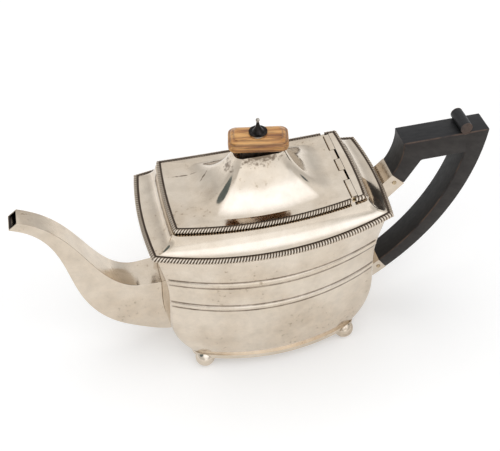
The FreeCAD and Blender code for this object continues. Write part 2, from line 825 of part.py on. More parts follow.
def pad(body, sketch, length, side="One side"):
    doc.recompute()
    feature = body.newObject("PartDesign::Pad", f"{sketch.Name}_pad")
    feature.Profile = sketch
    feature.SideType = side
    bind(feature, Length=length)
    doc.recompute()


def pocket(body, sketch, length):
    doc.recompute()
    before = body.Shape.Volume
    feature = body.newObject("PartDesign::Pocket", f"{sketch.Name}_pocket")
    feature.Profile = sketch
    feature.SideType = "Symmetric"
    bind(feature, Length=length)
    doc.recompute()
    if body.Shape.Volume >= before:
        raise RuntimeError(f"{sketch.Name} cuts nothing")


# Finial: a silver collar, a stepped wooden knob, a silver cap and the stud that holds them
dome_peak = cell.lid_height + cell.dome_height
knob_start = dome_peak + cell.collar_height
knob_height = cell.knob_foot_height + cell.knob_slab_height + cell.knob_top_height
cap_start = knob_start + knob_height
stud_hole_radius = cell.stud_radius + cell.stud_hole_clearance


def upright(name, radius, height, z):
    rod = doc.addObject("Part::Cylinder", name)
    bind(rod, Radius=radius, Height=height)
    place(rod, 0, 0, z)
    return rod


collar = doc.addObject("Part::Box", "collar_block")
bind(collar, Length=cell.collar_length, Width=cell.collar_width, Height=cell.collar_height)
place(collar, -cell.collar_length / 2, -cell.collar_width / 2, dome_peak)
collar_hole = upright("collar_hole", stud_hole_radius, cell.collar_height, dome_peak)
piece(cut("collar", collar, [collar_hole]), "finial_collar")


def finial_knob():
    body = doc.addObject("PartDesign::Body", "knob")
    level = 0
    half_length = cell.knob_length / 2
    half_width = cell.knob_width / 2
    steps = (
        ("foot", cell.knob_foot_inset, cell.knob_foot_height),
        ("slab", 0, cell.knob_slab_height),
        ("top", cell.knob_top_inset, cell.knob_top_height),
    )
    for name, inset, height in steps:
        sketch = attached_sketch(body, f"knob_{name}", "XY_Plane", level)
        rounded_rectangle(sketch, half_length - inset, half_width - inset, cell.knob_corner)
        pad(body, sketch, height)
        level = height + level
    sketch = attached_sketch(body, "knob_hole", "XY_Plane")
    circle(sketch, 0, 0, stud_hole_radius)
    pocket(body, sketch, knob_height * 2)
    body.Placement.Rotation = FreeCAD.Rotation(vec(0, 0, -1), cell.knob_turn.number)
    body.setExpression("Placement.Rotation.Angle", cell.knob_turn.text)
    piece(body, "finial_knob", z=knob_start)


def finial_cap():
    body = doc.addObject("PartDesign::Body", "cap")
    sketch = attached_sketch(body, "cap_profile", "XZ_Plane")
    bore = cell.stud_radius + cell.thread_clearance
    bore_depth = cell.stud_reach + cell.thread_clearance
    neck = cell.cap_ball_radius - cell.cap_ball_waist
    ball_drop = root(cell.cap_ball_radius * cell.cap_ball_radius - neck * neck)
    neck_height = cell.cap_height - cell.cap_ball_radius - ball_drop
    corners = [
        (bore, 0), (cell.cap_radius, 0),
        (cell.cap_radius, cell.cap_ring_height), (cell.cap_neck_radius, cell.cap_ring_height),
        (neck, neck_height), (0, cell.cap_height),
        (0, bore_depth), (bore, bore_depth),
    ]
    outline(sketch, corners, {3: cell.cap_hollow_radius, 4: -cell.cap_ball_radius})
    doc.recompute()
    turned = body.newObject("PartDesign::Revolution", "cap_turned")
    turned.Profile = sketch
    turned.ReferenceAxis = (sketch, ["V_Axis"])
    turned.Angle = 360
    piece(body, "finial_cap", z=cap_start)


finial_knob()
finial_cap()
washer_start = dome_peak - cell.lid_wall - cell.washer_height
nut_start = washer_start - cell.nut_height
stud_start = nut_start - cell.stud_tail
stud = upright("stud", cell.stud_radius, cap_start + cell.stud_reach - stud_start, stud_start)
piece(stud, "finial_stud", z=stud_start)
washer = upright("washer_disc", cell.washer_radius, cell.washer_height, washer_start)
washer_hole = upright("washer_hole", stud_hole_radius, cell.washer_height, washer_start)
piece(cut("washer", washer, [washer_hole]), "finial_washer")
nut = doc.addObject("Part::Prism", "nut_block")
nut.Polygon = 6
bind(nut, Circumradius=cell.nut_across_corners / 2, Height=cell.nut_height)
place(nut, 0, 0, nut_start)
nut_hole = upright("nut_hole", cell.stud_radius + cell.thread_clearance, cell.nut_height, nut_start)
piece(cut("nut", nut, [nut_hole]), "finial_nut")


# A place on the slanted line of a socket: along it from the mouth, and across it
def socket_point(which, along, across):
    angle = getattr(cell, f"{which}_socket_angle")
    mouth_x = getattr(cell, f"{which}_socket_x")
    mouth_z = getattr(cell, f"{which}_socket_z")
    x = mouth_x + cosine(angle) * along - sine(angle) * across
    z = mouth_z + sine(angle) * along + cosine(angle) * across
    return x, z


def slanted_box(name, which, start, length, depth, width):
    box = doc.addObject("Part::Box", name)
    bind(box, Length=length, Width=width, Height=depth)
    angle = getattr(cell, f"{which}_socket_angle")
    box.Placement.Rotation = FreeCAD.Rotation(vec(0, -1, 0), angle.number)
    box.setExpression("Placement.Rotation.Angle", angle.text)
    x, z = socket_point(which, start, -depth / 2)
    place(box, x, -width / 2, z)
    return box


# Sockets: sleeves from the wall of the body to the ends of the handle, each with a pin through it
body_core = tool("body_core", body_solid)
overrun = 1.0
pin_hole_radius = cell.socket_pin_radius + cell.socket_pin_clearance
for which in ("upper", "lower"):
    depth = getattr(cell, f"{which}_socket_depth")
    run = getattr(cell, f"{which}_socket_run")
    bore_depth = depth - cell.socket_wall * 2
    bore_width = cell.handle_width - cell.socket_wall * 2
    sleeve = slanted_box(f"{which}_sleeve", which, -run, run, depth, cell.handle_width)
    bore = slanted_box(f"{which}_bore", which, -run - overrun, run + 2 * overrun, bore_depth, bore_width)
    pin_x, pin_z = socket_point(which, -cell.socket_pin_inset, 0)
    pin_length = cell.handle_width + cell.socket_pin_proud * 2
    hole = along_y(f"{which}_pin_hole", pin_hole_radius, pin_length, pin_x, -pin_length / 2, pin_z)
    piece(cut(f"{which}_socket", sleeve, [bore, body_core, hole]), f"{which}_socket")
    rivet = along_y(f"{which}_rivet", cell.socket_pin_radius, pin_length, pin_x, -pin_length / 2, pin_z)
    place(rivet, centre_shift + pin_x, -pin_length / 2, pin_z)
    rivet.Label = f"{which}_socket_pin"
    pieces.append(rivet)


# Handle: one flat outline, a tenon at each end, the pins' holes and a seat for the thumb piece
thumb_x = cell.handle_reach - cell.thumb_inset
thumb_z = cell.handle_top + cell.thumb_radius - cell.thumb_seat


def handle():
    body = doc.addObject("PartDesign::Body", "handle_body")
    sketch = attached_sketch(body, "handle_outline", "XZ_Plane")
    upper_half = cell.upper_socket_depth / 2
    lower_half = cell.lower_socket_depth / 2
    gap_top = cell.handle_top - cell.handle_bar_depth
    corners = [
        (cell.handle_top_start, cell.handle_top),
        (cell.handle_reach, cell.handle_top),
        socket_point("lower", 0, -lower_half),
        socket_point("lower", 0, lower_half),
        (cell.handle_reach - cell.handle_grip_depth, gap_top),
        (cell.handle_gap_start, gap_top),
        socket_point("upper", 0, -upper_half),
        socket_point("upper", 0, upper_half),
    ]
    outline(sketch, corners, {
        1: cell.handle_back_radius,
        3: -cell.handle_gap_radius,
        7: -cell.handle_arm_radius,
    })
    pad(body, sketch, cell.handle_width, "Symmetric")
    slack = cell.socket_wall + cell.tenon_clearance
    for which, half in (("upper", upper_half), ("lower", lower_half)):
        tenon = half - slack
        sketch = attached_sketch(body, f"{which}_tenon", "XZ_Plane")
        corners = [
            socket_point(which, 0, tenon), socket_point(which, 0, -tenon),
            socket_point(which, -cell.tenon_length, -tenon), socket_point(which, -cell.tenon_length, tenon),
        ]
        outline(sketch, corners, {})
        pad(body, sketch, cell.handle_width - slack * 2, "Symmetric")
        sketch = attached_sketch(body, f"{which}_tenon_hole", "XZ_Plane")
        circle(sketch, *socket_point(which, -cell.socket_pin_inset, 0), pin_hole_radius)
        pocket(body, sketch, cell.handle_width)
    sketch = attached_sketch(body, "thumb_seat", "XZ_Plane")
    circle(sketch, thumb_x, thumb_z, cell.thumb_radius)
    pocket(body, sketch, cell.handle_width)
    piece(body, "handle")


handle()
thumb = along_y("thumb", cell.thumb_radius, cell.thumb_length, 0, 0, 0)
place(thumb, centre_shift + thumb_x, -cell.thumb_length / 2, thumb_z)
thumb.Label = "thumb_piece"
pieces.append(thumb)

# Every object has to be sound before any file is written
doc.recompute()
for thing in doc.Objects:
    if {"Invalid", "Error"} & set(thing.State):
        raise RuntimeError(f"{thing.Label} failed: {thing.State}")
for thing in pieces:
    if thing.Shape.isNull() or not thing.Shape.isValid() or len(thing.Shape.Solids) != 1:
        raise RuntimeError(f"{thing.Label} is not one sound solid")

os.makedirs("parts", exist_ok=True)
for thing in pieces:
    thing.Shape.exportStep(f"parts/{thing.Label}.step")
    print(thing.Label, round(thing.Shape.Volume, 1))
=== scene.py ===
import bpy
import numpy as np
from mathutils import Matrix, Vector


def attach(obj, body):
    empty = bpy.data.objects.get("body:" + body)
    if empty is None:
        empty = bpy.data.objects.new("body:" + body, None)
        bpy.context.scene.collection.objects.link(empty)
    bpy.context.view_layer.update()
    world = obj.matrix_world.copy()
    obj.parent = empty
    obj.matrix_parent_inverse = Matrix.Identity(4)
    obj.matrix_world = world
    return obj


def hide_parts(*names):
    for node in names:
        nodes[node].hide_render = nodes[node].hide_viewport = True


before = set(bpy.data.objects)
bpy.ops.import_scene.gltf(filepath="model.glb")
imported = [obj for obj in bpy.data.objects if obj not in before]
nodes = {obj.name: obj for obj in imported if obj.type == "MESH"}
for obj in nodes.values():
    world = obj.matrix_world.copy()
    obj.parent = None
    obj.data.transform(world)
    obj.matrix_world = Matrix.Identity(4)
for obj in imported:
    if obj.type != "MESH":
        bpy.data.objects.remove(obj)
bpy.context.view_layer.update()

scene = bpy.context.scene
mm = 0.001
potMiddle = 3.5 * mm  # the pot's own middle lies this far along +X
print("frame loaded:", len(nodes), "nodes")


# A socket takes a link from another socket, or a plain value
def feed(tree, node, inputs):
    for name, value in inputs.items():
        if isinstance(value, bpy.types.NodeSocket):
            tree.links.new(value, node.inputs[name])
        else:
            node.inputs[name].default_value = value


def addNode(tree, kind, inputs=None, **settings):
    node = tree.nodes.new(kind)
    for name, value in settings.items():
        setattr(node, name, value)
    feed(tree, node, inputs or {})
    return node


def emptyTree(owner, outputKind):
    owner.use_nodes = True
    tree = owner.node_tree
    tree.nodes.clear()
    return tree, tree.nodes.new(outputKind)


def newMaterial(name):
    material = bpy.data.materials.new(name)
    tree, output = emptyTree(material, "ShaderNodeOutputMaterial")
    shader = addNode(tree, "ShaderNodeBsdfPrincipled")
    feed(tree, output, {"Surface": shader.outputs["BSDF"]})
    return material, tree, shader


# Object coordinates less a place, turned back, and divided by a scale along each axis
def placedCoords(tree, place, turn, scale):
    coords = addNode(tree, "ShaderNodeTexCoord")
    inputs = {"Vector": coords.outputs["Object"], "Location": place, "Rotation": turn, "Scale": scale}
    return addNode(tree, "ShaderNodeMapping", inputs, vector_type="TEXTURE").outputs["Vector"]


def objectCoords(tree, stretch=(1, 1, 1), turn=(0, 0, 0)):
    return placedCoords(tree, (0, 0, 0), turn, [1 / value for value in stretch])


def splitCoords(tree, vector):
    return addNode(tree, "ShaderNodeSeparateXYZ", {0: vector}).outputs


def attribute(tree, name):
    return addNode(tree, "ShaderNodeAttribute", attribute_name=name).outputs["Fac"]


def noise(tree, vector, scale, detail, roughness):
    inputs = {"Vector": vector, "Scale": scale, "Detail": detail, "Roughness": roughness}
    return addNode(tree, "ShaderNodeTexNoise", inputs).outputs["Fac"]


def ramp(tree, factor, stops):
    node = addNode(tree, "ShaderNodeValToRGB", {"Fac": factor})
    elements = node.color_ramp.elements
    while len(elements) < len(stops):
        elements.new(0.5)
    for element, (place, colour) in zip(elements, stops):
        element.position = place
        element.color = (*colour, 1)
    return node.outputs["Color"]


def grey(value):
    return (value, value, value)


# A ramp of grey tones, from black to white unless it is given others
def fade(tree, factor, places, tones=(0, 1)):
    return ramp(tree, factor, [(place, grey(tone)) for place, tone in zip(places, tones)])


def mix(tree, factor, first, second, kind="MIX"):
    node = addNode(tree, "ShaderNodeMix", {0: factor}, data_type="RGBA", blend_type=kind)
    for socket, colour in ((6, first), (7, second)):
        feed(tree, node, {socket: (*colour, 1) if isinstance(colour, tuple) else colour})
    return node.outputs[2]


def maths(tree, operation, *values):
    return addNode(tree, "ShaderNodeMath", dict(enumerate(values)), operation=operation).outputs[0]


# Bump of a given strength, and depth in mm, over the bump below it
def bump(tree, height, strength, depth, below=None):
    inputs = {"Height": height, "Strength": strength, "Distance": depth * mm}
    if below is not None:
        inputs["Normal"] = below
    return addNode(tree, "ShaderNodeBump", inputs).outputs["Normal"]


# Silver: polished sheet with cloudy tarnish, rubbing lines and a slightly uneven surface.
# A noise is its scale, detail and roughness; a bump is its strength, and its depth in mm
silverFinish = {
    "bright": (0.73, 0.645, 0.54),
    "tarnish": (0.58, 0.475, 0.36),
    "stain": (0.27, 0.20, 0.13),
    # the next colour is for real scrapes, and also paints the shade under the knob and under each reed
    "scrapeAndShade": (0.12, 0.08, 0.05),
    # the next colour is painted shade inside the spout's mouth
    "inside": (0.035, 0.028, 0.025),
    "cloudNoise": (26, 5, 0.6),
    "fineNoise": (130, 4, 0.65),
    "speckNoise": (420, 2, 0.5),
    "waveNoise": (38, 2, 0.4),
    "rubbing": {"stretch": (60, 900, 900), "turn": (0.2, 0.1, 0.35)},
    "rubbingNoise": (1.0, 3, 0.6),
    "cloudEdge": (0.62, 0.80), "cloudSpread": 0.45,  # the share of tarnish lowers the first edge
    "mottleEdge": (0.35, 0.62), "mottle": (0.90, 1.0),
    "stainEdge": (0.40, 0.46), "stainSpread": 0.5, "stainStrength": 0.55,
    "markEdge": (0.55, 1.0), "markLevel": 0.42, "markBreak": 2.2, "markStrength": 0.8,
    "lineEdge": (0.3, 0.7), "linePatchiness": (0.95, 0.55),
    "roughEdge": (0.25, 0.8), "roughness": (0.07, 0.22),
    "waveBump": (0.5, 0.7), "rubbingBump": (0.10, 0.12), "speckBump": (0.12, 0.10),
}

# Two scrapes on the lid's margin, a rubbed patch by the knob and painted shade on the dome under it:
# middle, half sizes and turn, in mm and radians
wearAndShadeMarks = [
    ((-40.3, 14.8, 116.0), (9.5, 0.62, 4.0), 0.06),
    ((-27.0, 9.2, 119.0), (5.2, 0.68, 5.0), 0.77),
    ((-13.5, -1.0, 131.0), (4.2, 6.0, 7.0), 0.2),
    # painted shade on the dome under the knob
    ((3.5, -6.0, 141.0), (18.0, 12.0, 8.0), 0.0),
]


# Shares of a box's half sizes from its middle, both in mm
def boxShares(tree, middle, half, turn):
    place = [value * mm for value in middle]
    return placedCoords(tree, place, turn, [value * mm for value in half])


# 1 inside an oval mark and 0 outside it, with an edge broken by noise
def markMask(tree, middle, half, turn, broken):
    shares = boxShares(tree, middle, half, (0, 0, turn))
    length = addNode(tree, "ShaderNodeVectorMath", {0: shares}, operation="LENGTH")
    ragged = maths(tree, "ADD", length.outputs["Value"], broken)
    return fade(tree, ragged, silverFinish["markEdge"], (1, 0))


# Painted shade in the room just inside the spout's mouth: middle, half sizes and slope, in mm and
# radians, and the shares of its half sizes at which the painted shade ends
mouthSize = {
    "middle": (-134.94, 0, 118.66), "half": (4.5, 5.5, 2.5), "slope": 0.3787, "edge": (0.96, 1.0),
}


# 1 inside a sloping box, where the largest of the three shares of its half sizes is under 1
def mouthShadeMask(tree):
    size = mouthSize
    shares = boxShares(tree, size["middle"], size["half"], (0, size["slope"], 0))
    positive = addNode(tree, "ShaderNodeVectorMath", {0: shares}, operation="ABSOLUTE")
    share = splitCoords(tree, positive.outputs["Vector"])
    largest = maths(tree, "MAXIMUM", maths(tree, "MAXIMUM", share["X"], share["Y"]), share["Z"])
    return fade(tree, largest, size["edge"], (1, 0))


# Curve of the reeds: half length and dip, then the middle of each pair of dark lines and how far apart
# they lie, in mm. The lower line is painted shade under its reed and lies 0.6 mm below it, where it
# shows from above.
# A line is full out to the first distance and gone at the second; it ends at a share of the length
reedSize = {
    "half": 62.2, "dip": 3.3, "reeds": [(79.5, 5.2), (59.7, 4.6)],
    "line": (0.32, 0.75), "end": (0.985, 1.0),
}


# 1 along both lines of a reed: the height from its curve, height - dip * (1 - (x / half)^2),
# is half the distance between the lines
def reedLines(tree):
    size = reedSize
    place = splitCoords(tree, objectCoords(tree))
    fromMiddle = maths(tree, "SUBTRACT", place["X"], potMiddle)
    along = maths(tree, "DIVIDE", fromMiddle, size["half"] * mm)
    rise = maths(tree, "MULTIPLY", maths(tree, "MULTIPLY", along, along), size["dip"] * mm)
    above = maths(tree, "SUBTRACT", place["Z"], rise)
    masks = []
    for height, apart in size["reeds"]:
        level = maths(tree, "SUBTRACT", above, (height - size["dip"]) * mm)
        beyond = maths(tree, "SUBTRACT", maths(tree, "ABSOLUTE", level), apart / 2 * mm)
        away = maths(tree, "DIVIDE", maths(tree, "ABSOLUTE", beyond), mm)
        masks.append(fade(tree, away, size["line"], (1, 0)))
    within = fade(tree, maths(tree, "ABSOLUTE", along), size["end"], (1, 0))
    return maths(tree, "MULTIPLY", maths(tree, "MAXIMUM", *masks), within)


def makeSilver(name, tarnishShare=0.45, stainShare=0.04, shine=0.0, unevenness=1.0,
               marks=(), reeded=False, shadeInMouth=False):
    look = silverFinish
    material, tree, shader = newMaterial(name)
    coords = objectCoords(tree)
    cloud = noise(tree, coords, *look["cloudNoise"])
    fine = noise(tree, coords, *look["fineNoise"])
    specks = noise(tree, coords, *look["speckNoise"])
    waves = noise(tree, coords, *look["waveNoise"])
    rubbing = noise(tree, objectCoords(tree, **look["rubbing"]), *look["rubbingNoise"])
    # tarnish in clouds, a fine mottle and small stains
    low, high = look["cloudEdge"]
    clouded = fade(tree, cloud, (low - tarnishShare * look["cloudSpread"], high))
    colour = mix(tree, clouded, look["bright"], look["tarnish"])
    mottle = fade(tree, fine, look["mottleEdge"], look["mottle"])
    colour = mix(tree, 1.0, colour, mottle, "MULTIPLY")
    low, high = look["stainEdge"]
    both = maths(tree, "MULTIPLY", cloud, specks)
    stained = fade(tree, both, (low - stainShare * look["stainSpread"], high))
    stained = maths(tree, "MULTIPLY", stained, look["stainStrength"])
    colour = mix(tree, stained, colour, look["stain"])
    # wear marks of a single piece, and painted shade where a mark stands for it
    for middle, half, turn in marks:
        away = maths(tree, "SUBTRACT", specks, look["markLevel"])
        broken = maths(tree, "MULTIPLY", away, look["markBreak"])
        mask = markMask(tree, middle, half, turn, broken)
        colour = mix(tree, maths(tree, "MULTIPLY", mask, look["markStrength"]), colour, look["scrapeAndShade"])
    # painted shade inside the spout's mouth
    if shadeInMouth:
        colour = mix(tree, mouthShadeMask(tree), colour, look["inside"])
    # dark lines along the reeds, the lower one painted shade under each reed
    if reeded:
        patchy = fade(tree, fine, look["lineEdge"], look["linePatchiness"])
        lines = maths(tree, "MULTIPLY", reedLines(tree), patchy)
        colour = mix(tree, lines, colour, look["scrapeAndShade"])
    rough = fade(tree, fine, look["roughEdge"], [value - shine for value in look["roughness"]])
    strength, depth = look["waveBump"]
    uneven = bump(tree, waves, strength, depth * unevenness)
    scratched = bump(tree, rubbing, *look["rubbingBump"], uneven)
    normal = bump(tree, specks, *look["speckBump"], scratched)
    feed(tree, shader, {"Base Color": colour, "Metallic": 1.0, "Roughness": rough, "Normal": normal})
    return material


# Lobed silver: the attribute "hollow" is 0 on a lobe and 1 between lobes, where tarnish lies and
# shade is painted
lobedFinish = {
    "colour": [(0.06, (0.66, 0.58, 0.48)), (0.30, (0.40, 0.32, 0.24)), (0.66, (0.085, 0.064, 0.050))],
    "patchNoise": (60, 4, 0.6), "patchBase": 0.55,
    "roughEdge": (0.05, 0.5), "roughness": (0.26, 0.6),
    "grainNoise": (700, 2, 0.55), "grainBump": (0.2, 0.1),
}


def makeLobedSilver(name):
    look = lobedFinish
    material, tree, shader = newMaterial(name)
    coords = objectCoords(tree)
    patch = maths(tree, "ADD", noise(tree, coords, *look["patchNoise"]), look["patchBase"])
    depth = maths(tree, "MULTIPLY", attribute(tree, "hollow"), patch)
    grain = noise(tree, coords, *look["grainNoise"])
    feed(tree, shader, {
        "Base Color": ramp(tree, depth, look["colour"]),
        "Metallic": 1.0,
        "Roughness": fade(tree, depth, look["roughEdge"], look["roughness"]),
        "Normal": bump(tree, grain, *look["grainBump"]),
    })
    return material


# Dark wood: blackened, with fine pores along the grain, browner on its flat sides and rubbed along
# their edges. The sides are known by their distance from the middle plane: half the handle's
# width, and the edge is counted inward in shares of twice its rounding, in mm
handleFinish = {
    "halfWidth": 8.1, "edge": 0.8,
    "grain": {"stretch": (120, 700, 260), "turn": (0, 0.5, 0)},
    "grainNoise": (1.0, 5, 0.6), "rubbedNoise": (90, 4, 0.6),
    "colour": [(0.3, (0.010, 0.010, 0.011)), (0.55, (0.014, 0.014, 0.015)), (0.8, (0.022, 0.021, 0.022))],
    "side": [(0.3, (0.019, 0.015, 0.013)), (0.55, (0.027, 0.022, 0.019)), (0.8, (0.040, 0.032, 0.027))],
    "rubbed": (0.11, 0.070, 0.052),
    "sideDepth": (0.01, 0.03), "edgeDepth": (0.01, 0.08, 0.40, 0.58),
    "brokenEdge": (0.40, 0.62), "broken": (0.1, 0.85),
    "roughEdge": (0.3, 0.75), "roughness": (0.55, 0.40), "specular": 0.32,
    "rubbedBump": (0.2, 0.3), "grainBump": (0.15, 0.15),
}


def makeDarkWood(name):
    look = handleFinish
    material, tree, shader = newMaterial(name)
    coords = objectCoords(tree)
    grain = noise(tree, objectCoords(tree, **look["grain"]), *look["grainNoise"])
    rubbed = noise(tree, coords, *look["rubbedNoise"])
    aside = maths(tree, "ABSOLUTE", splitCoords(tree, coords)["Y"])
    inward = maths(tree, "SUBTRACT", look["halfWidth"] * mm, aside)
    depth = maths(tree, "DIVIDE", inward, 2 * look["edge"] * mm)
    onSide = fade(tree, depth, look["sideDepth"], (1, 0))
    colour = mix(tree, onSide, ramp(tree, grain, look["colour"]), ramp(tree, grain, look["side"]))
    onEdge = fade(tree, depth, look["edgeDepth"], (0, 1, 1, 0))
    broken = fade(tree, rubbed, look["brokenEdge"], look["broken"])
    colour = mix(tree, maths(tree, "MULTIPLY", onEdge, broken), colour, look["rubbed"])
    uneven = bump(tree, rubbed, *look["rubbedBump"])
    feed(tree, shader, {
        "Base Color": colour,
        "Roughness": fade(tree, grain, look["roughEdge"], look["roughness"]),
        "Specular IOR Level": look["specular"],
        "Normal": bump(tree, grain, *look["grainBump"], uneven),
    })
    return material


# Knob wood: warm fruitwood with dark grain lines along its length, under wax, darker in its steps,
# and with painted shade on its foot under the slab
knobFinish = {
    "grain": {"stretch": (30, 330, 420), "turn": (0.03, 0.04, -0.16)},
    "grainNoise": (1.0, 6, 0.62),
    "fleck": {"stretch": (80, 1300, 1300), "turn": (0, 0, -0.21)},
    "fleckNoise": (1.0, 3, 0.6),
    "colour": [(0.30, (0.17, 0.055, 0.013)), (0.44, (0.50, 0.215, 0.055)),
               (0.57, (0.74, 0.385, 0.120)), (0.78, (0.84, 0.51, 0.20))],
    "fleckEdge": (0.36, 0.5), "fleckTone": (0.36, 1), "fleckStrength": 0.7,
    # the next colour darkens the steps and paints the shade on the foot under the slab
    "darkening": (0.07, 0.026, 0.009), "darkeningStrength": 0.7,
    "roughness": 0.34, "wax": 0.25, "waxRoughness": 0.18, "fleckBump": (0.25, 0.15),
}


def makeKnobWood(name):
    look = knobFinish
    material, tree, shader = newMaterial(name)
    grain = noise(tree, objectCoords(tree, **look["grain"]), *look["grainNoise"])
    fleck = noise(tree, objectCoords(tree, **look["fleck"]), *look["fleckNoise"])
    lines = fade(tree, fleck, look["fleckEdge"], look["fleckTone"])
    colour = ramp(tree, grain, look["colour"])
    colour = mix(tree, look["fleckStrength"], colour, lines, "MULTIPLY")
    # darker in the steps, and painted shade on the foot under the slab
    darkened = maths(tree, "MULTIPLY", attribute(tree, "hollow"), look["darkeningStrength"])
    feed(tree, shader, {
        "Base Color": mix(tree, darkened, colour, look["darkening"]),
        "Roughness": look["roughness"],
        "Coat Weight": look["wax"],
        "Coat Roughness": look["waxRoughness"],
        "Normal": bump(tree, fleck, *look["fleckBump"]),
    })
    return material


# Cap: blackened between a bright ring at its foot and a bright ball on top, by its share of the
# height above its foot, in mm
capFinish = {
    "foot": 150.0, "height": 10.0,
    "light": (0.62, 0.57, 0.50), "dark": (0.035, 0.030, 0.028), "change": (0.13, 0.18, 0.82, 0.90),
    "patchNoise": (420, 4, 0.6),
    "mottleEdge": (0.35, 0.62), "mottle": (0.45, 1.0),
    "roughEdge": (0.3, 0.7), "roughness": (0.42, 0.24), "patchBump": (0.25, 0.3),
}


def makeCapSilver(name):
    look = capFinish
    material, tree, shader = newMaterial(name)
    coords = objectCoords(tree)
    patch = noise(tree, coords, *look["patchNoise"])
    above = maths(tree, "SUBTRACT", splitCoords(tree, coords)["Z"], look["foot"] * mm)
    share = maths(tree, "DIVIDE", above, look["height"] * mm)
    tones = (look["light"], look["dark"], look["dark"], look["light"])
    colour = ramp(tree, share, list(zip(look["change"], tones)))
    mottle = fade(tree, patch, look["mottleEdge"], look["mottle"])
    feed(tree, shader, {
        "Base Color": mix(tree, 1.0, colour, mottle, "MULTIPLY"),
        "Metallic": 1.0,
        "Roughness": fade(tree, patch, look["roughEdge"], look["roughness"]),
        "Normal": bump(tree, patch, *look["patchBump"]),
    })
    return material


# Dull metal in two tones: the collar, painted near black as the shade under the knob, the pins and the
# brass fixings
dullFinish = {
    "patchNoise": (260, 4, 0.6), "toneEdge": (0.35, 0.65),
    "roughEdge": (0.3, 0.7), "roughSpread": 0.15, "patchBump": (0.15, 0.2),
}


def makeDullMetal(name, light, dark, roughness):
    look = dullFinish
    material, tree, shader = newMaterial(name)
    patch = noise(tree, objectCoords(tree), *look["patchNoise"])
    dullest = roughness + look["roughSpread"]
    feed(tree, shader, {
        "Base Color": ramp(tree, patch, list(zip(look["toneEdge"], (dark, light)))),
        "Metallic": 1.0,
        "Roughness": fade(tree, patch, look["roughEdge"], (dullest, roughness)),
        "Normal": bump(tree, patch, *look["patchBump"]),
    })
    return material


finishes = {
    "sheet": makeSilver("sheetSilver"),
    "body": makeSilver("bodySilver", reeded=True),
    "lid": makeSilver("lidSilver", tarnishShare=0.40, stainShare=0.06, shine=0.02, unevenness=0.8,
                      marks=wearAndShadeMarks),
    "spout": makeSilver("spoutSilver", tarnishShare=0.55, stainShare=0.08, unevenness=1.1, shadeInMouth=True),
    "hinge": makeSilver("hingeSilver", tarnishShare=0.5, stainShare=0.1, unevenness=0.3),
    "feet": makeSilver("footSilver", tarnishShare=0.6, stainShare=0.12, unevenness=0.4),
    "lobed": makeLobedSilver("lobedSilver"),
    "darkWood": makeDarkWood("darkWood"),
    "knobWood": makeKnobWood("knobWood"),
    "cap": makeCapSilver("capSilver"),
    # the collar's near black is painted shade under the knob
    "collar": makeDullMetal("shadedCollarSilver", light=(0.06, 0.047, 0.038), dark=(0.014, 0.011, 0.009),
                            roughness=0.5),
    "pin": makeDullMetal("pinSilver", light=(0.60, 0.48, 0.32), dark=(0.24, 0.17, 0.10), roughness=0.26),
    "fixing": makeDullMetal("fixingBrass", light=(0.62, 0.48, 0.26), dark=(0.30, 0.21, 0.10),
                            roughness=0.32),
}
print("finishes made:", len(finishes))

# which finish each CAD node keeps
nodeFinish = {
    "sheet": ("base_plate", "base_rim", "shoulder", "upper_socket", "lower_socket"),
    "body": ("body_shell", "upper_reed_front", "upper_reed_rear", "lower_reed_front", "lower_reed_rear"),
    "lid": ("lid_cover", "lid_bezel", "hinge_plate"),
    "spout": ("spout",),
    "feet": ("foot_front_left", "foot_front_right", "foot_rear_left", "foot_rear_right"),
    "hinge": ("fixed_knuckle_front", "fixed_knuckle_middle", "fixed_knuckle_rear",
              "lid_knuckle_front", "lid_knuckle_rear"),
    "darkWood": ("handle", "thumb_piece"),
    "cap": ("finial_cap",),
    "collar": ("finial_collar",),
    "pin": ("upper_socket_pin", "lower_socket_pin"),
    "fixing": ("finial_stud", "finial_washer", "finial_nut", "hinge_pin"),
}
for finish, names in nodeFinish.items():
    for name in names:
        materials = nodes[name].data.materials
        materials.clear()
        materials.append(finishes[finish])
print("CAD nodes dressed")

# how edges are joined, shaded and rounded: distances in mm, angles in degrees
edgeSize = {
    "join": 0.002, "crease": 22, "roundOver": 40,
    "rounded": {"handle": (0.8, 3), "spout": (0.3, 2)},  # width and steps
}


# The sheet's surfaces are joined at their edges and shaded smooth up to a crease angle
def smoothGroup():
    group = bpy.data.node_groups.new("smoothSheet", "GeometryNodeTree")
    for way in ("INPUT", "OUTPUT"):
        group.interface.new_socket("Geometry", in_out=way, socket_type="NodeSocketGeometry")
    source = addNode(group, "NodeGroupInput")
    angles = addNode(group, "GeometryNodeInputMeshEdgeAngle")
    joined = addNode(group, "GeometryNodeMergeByDistance", {
        "Geometry": source.outputs[0], "Distance": edgeSize["join"] * mm})
    faces = addNode(group, "GeometryNodeSetShadeSmooth", {
        "Geometry": joined.outputs["Geometry"]}, domain="FACE")
    under = addNode(group, "FunctionNodeCompare", {
        0: angles.outputs["Unsigned Angle"], 1: np.radians(edgeSize["crease"])},
        data_type="FLOAT", operation="LESS_THAN")
    edges = addNode(group, "GeometryNodeSetShadeSmooth", {
        "Geometry": faces.outputs["Geometry"], "Shade Smooth": under.outputs["Result"]}, domain="EDGE")
    addNode(group, "NodeGroupOutput", {0: edges.outputs["Geometry"]})
    return group


smoothSheet = smoothGroup()


def shadeSmooth(piece):
    piece.modifiers.new("smooth", "NODES").node_group = smoothSheet


def roundEdges(piece, width, steps):
    weld = piece.modifiers.new("weld", "WELD")
    weld.merge_threshold = edgeSize["join"] * mm
    edge = piece.modifiers.new("edge", "BEVEL")
    edge.width = width * mm
    edge.segments = steps
    edge.limit_method = "ANGLE"
    edge.angle_limit = np.radians(edgeSize["roundOver"])
    edge.use_clamp_overlap = False
    edge.miter_outer = "MITER_ARC"


for name, node in nodes.items():
    if name == "finial_knob" or "border" in name:
        continue  # pieces below stand in for these
    if name in edgeSize["rounded"]:
        roundEdges(node, *edgeSize["rounded"][name])
    shadeSmooth(node)
print("edges rounded and shading smoothed")


